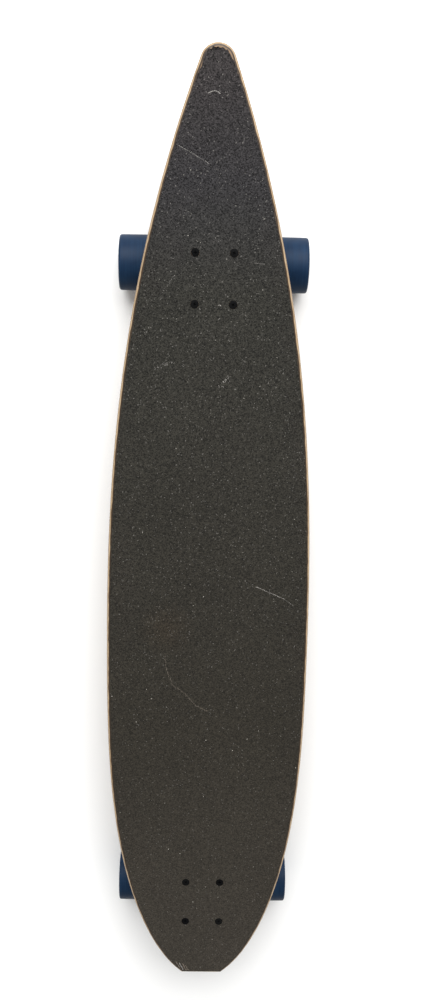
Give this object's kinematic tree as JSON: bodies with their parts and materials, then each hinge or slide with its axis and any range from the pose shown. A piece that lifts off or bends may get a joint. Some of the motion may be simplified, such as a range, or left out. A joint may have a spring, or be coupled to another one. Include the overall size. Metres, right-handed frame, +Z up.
{
  "type": "longboard skateboard",
  "caption": "Pintail longboard skateboard: maple deck with grip tape on reverse kingpin trucks that lean to steer, with free-rolling urethane wheels",
  "frame": {"origin": "on the ground under the middle of the board's length and width", "axes": "+Z up, +Y towards the pointed tail, +X to the right when seen from above with the tail away from the viewer"},
  "size_m": [0.232, 1.087, 0.1108],
  "materials": {
    "maple": "clear lacquered maple ply",
    "grit": "coarse grit on a stuck-on backing",
    "riser": "matt moulded rubber",
    "casting": "tumbled casting",
    "pivot": "moulded",
    "steel": "zinc plated",
    "black_steel": "blackened",
    "bushing": "cast urethane, satin",
    "bearing": "ground steel with pressed shields",
    "urethane": "cast blue urethane, satin"
  },
  "bodies": {
    "board": {"deck": "maple", "grip_tape": "grit", "front_riser_pad": "riser", "front_baseplate": "casting", "front_pivot_cup": "pivot", "front_kingpin": "steel", "front_kingpin_nut": "steel", "front_boardside_washer": "steel", "front_roadside_washer": "steel", "front_boardside_bushing": "bushing", "front_roadside_bushing": "bushing", "front_deck_bolt_outer_right": "black_steel", "front_deck_bolt_outer_left": "black_steel", "front_deck_bolt_inner_right": "black_steel", "front_deck_bolt_inner_left": "black_steel", "front_lock_nut_outer_right": "steel", "front_lock_nut_outer_left": "steel", "front_lock_nut_inner_right": "steel", "front_lock_nut_inner_left": "steel", "rear_riser_pad": "riser", "rear_baseplate": "casting", "rear_pivot_cup": "pivot", "rear_kingpin": "steel", "rear_kingpin_nut": "steel", "rear_boardside_washer": "steel", "rear_roadside_washer": "steel", "rear_boardside_bushing": "bushing", "rear_roadside_bushing": "bushing", "rear_deck_bolt_outer_right": "black_steel", "rear_deck_bolt_outer_left": "black_steel", "rear_deck_bolt_inner_right": "black_steel", "rear_deck_bolt_inner_left": "black_steel", "rear_lock_nut_outer_right": "steel", "rear_lock_nut_outer_left": "steel", "rear_lock_nut_inner_right": "steel", "rear_lock_nut_inner_left": "steel"},
    "front_axle_set": {"front_hanger": "casting", "front_axle": "steel", "front_right_axle_nut": "steel", "front_left_axle_nut": "steel", "front_right_spacer": "steel", "front_left_spacer": "steel"},
    "rear_axle_set": {"rear_hanger": "casting", "rear_axle": "steel", "rear_right_axle_nut": "steel", "rear_left_axle_nut": "steel", "rear_right_spacer": "steel", "rear_left_spacer": "steel"},
    "front_right_wheel_set": {"front_right_wheel": "urethane", "front_right_inner_bearing": "bearing", "front_right_outer_bearing": "bearing"},
    "front_left_wheel_set": {"front_left_wheel": "urethane", "front_left_inner_bearing": "bearing", "front_left_outer_bearing": "bearing"},
    "rear_right_wheel_set": {"rear_right_wheel": "urethane", "rear_right_inner_bearing": "bearing", "rear_right_outer_bearing": "bearing"},
    "rear_left_wheel_set": {"rear_left_wheel": "urethane", "rear_left_inner_bearing": "bearing", "rear_left_outer_bearing": "bearing"}
  },
  "joints": [
    {"name": "front_steer", "type": "hinge", "parent": "board", "child": "front_axle_set", "pos_m": [0, -0.46962, 0.05717], "axis": [0, -0.7431, 0.6691], "range_deg": [-20, 20], "stiffness_Nm_per_rad": 30, "deforming": ["front_boardside_bushing", "front_roadside_bushing"]},
    {"name": "rear_steer", "type": "hinge", "parent": "board", "child": "rear_axle_set", "pos_m": [0, 0.33462, 0.05717], "axis": [0, 0.7431, 0.6691], "range_deg": [-20, 20], "stiffness_Nm_per_rad": 30, "deforming": ["rear_boardside_bushing", "rear_roadside_bushing"]},
    {"name": "front_right_spin", "type": "hinge", "parent": "front_axle_set", "child": "front_right_wheel_set", "pos_m": [0.08025, -0.4555, 0.031], "axis": [1, 0, 0], "continuous": true},
    {"name": "front_left_spin", "type": "hinge", "parent": "front_axle_set", "child": "front_left_wheel_set", "pos_m": [-0.08025, -0.4555, 0.031], "axis": [1, 0, 0], "continuous": true},
    {"name": "rear_right_spin", "type": "hinge", "parent": "rear_axle_set", "child": "rear_right_wheel_set", "pos_m": [0.08025, 0.3205, 0.031], "axis": [1, 0, 0], "continuous": true},
    {"name": "rear_left_spin", "type": "hinge", "parent": "rear_axle_set", "child": "rear_left_wheel_set", "pos_m": [-0.08025, 0.3205, 0.031], "axis": [1, 0, 0], "continuous": true}
  ]
}
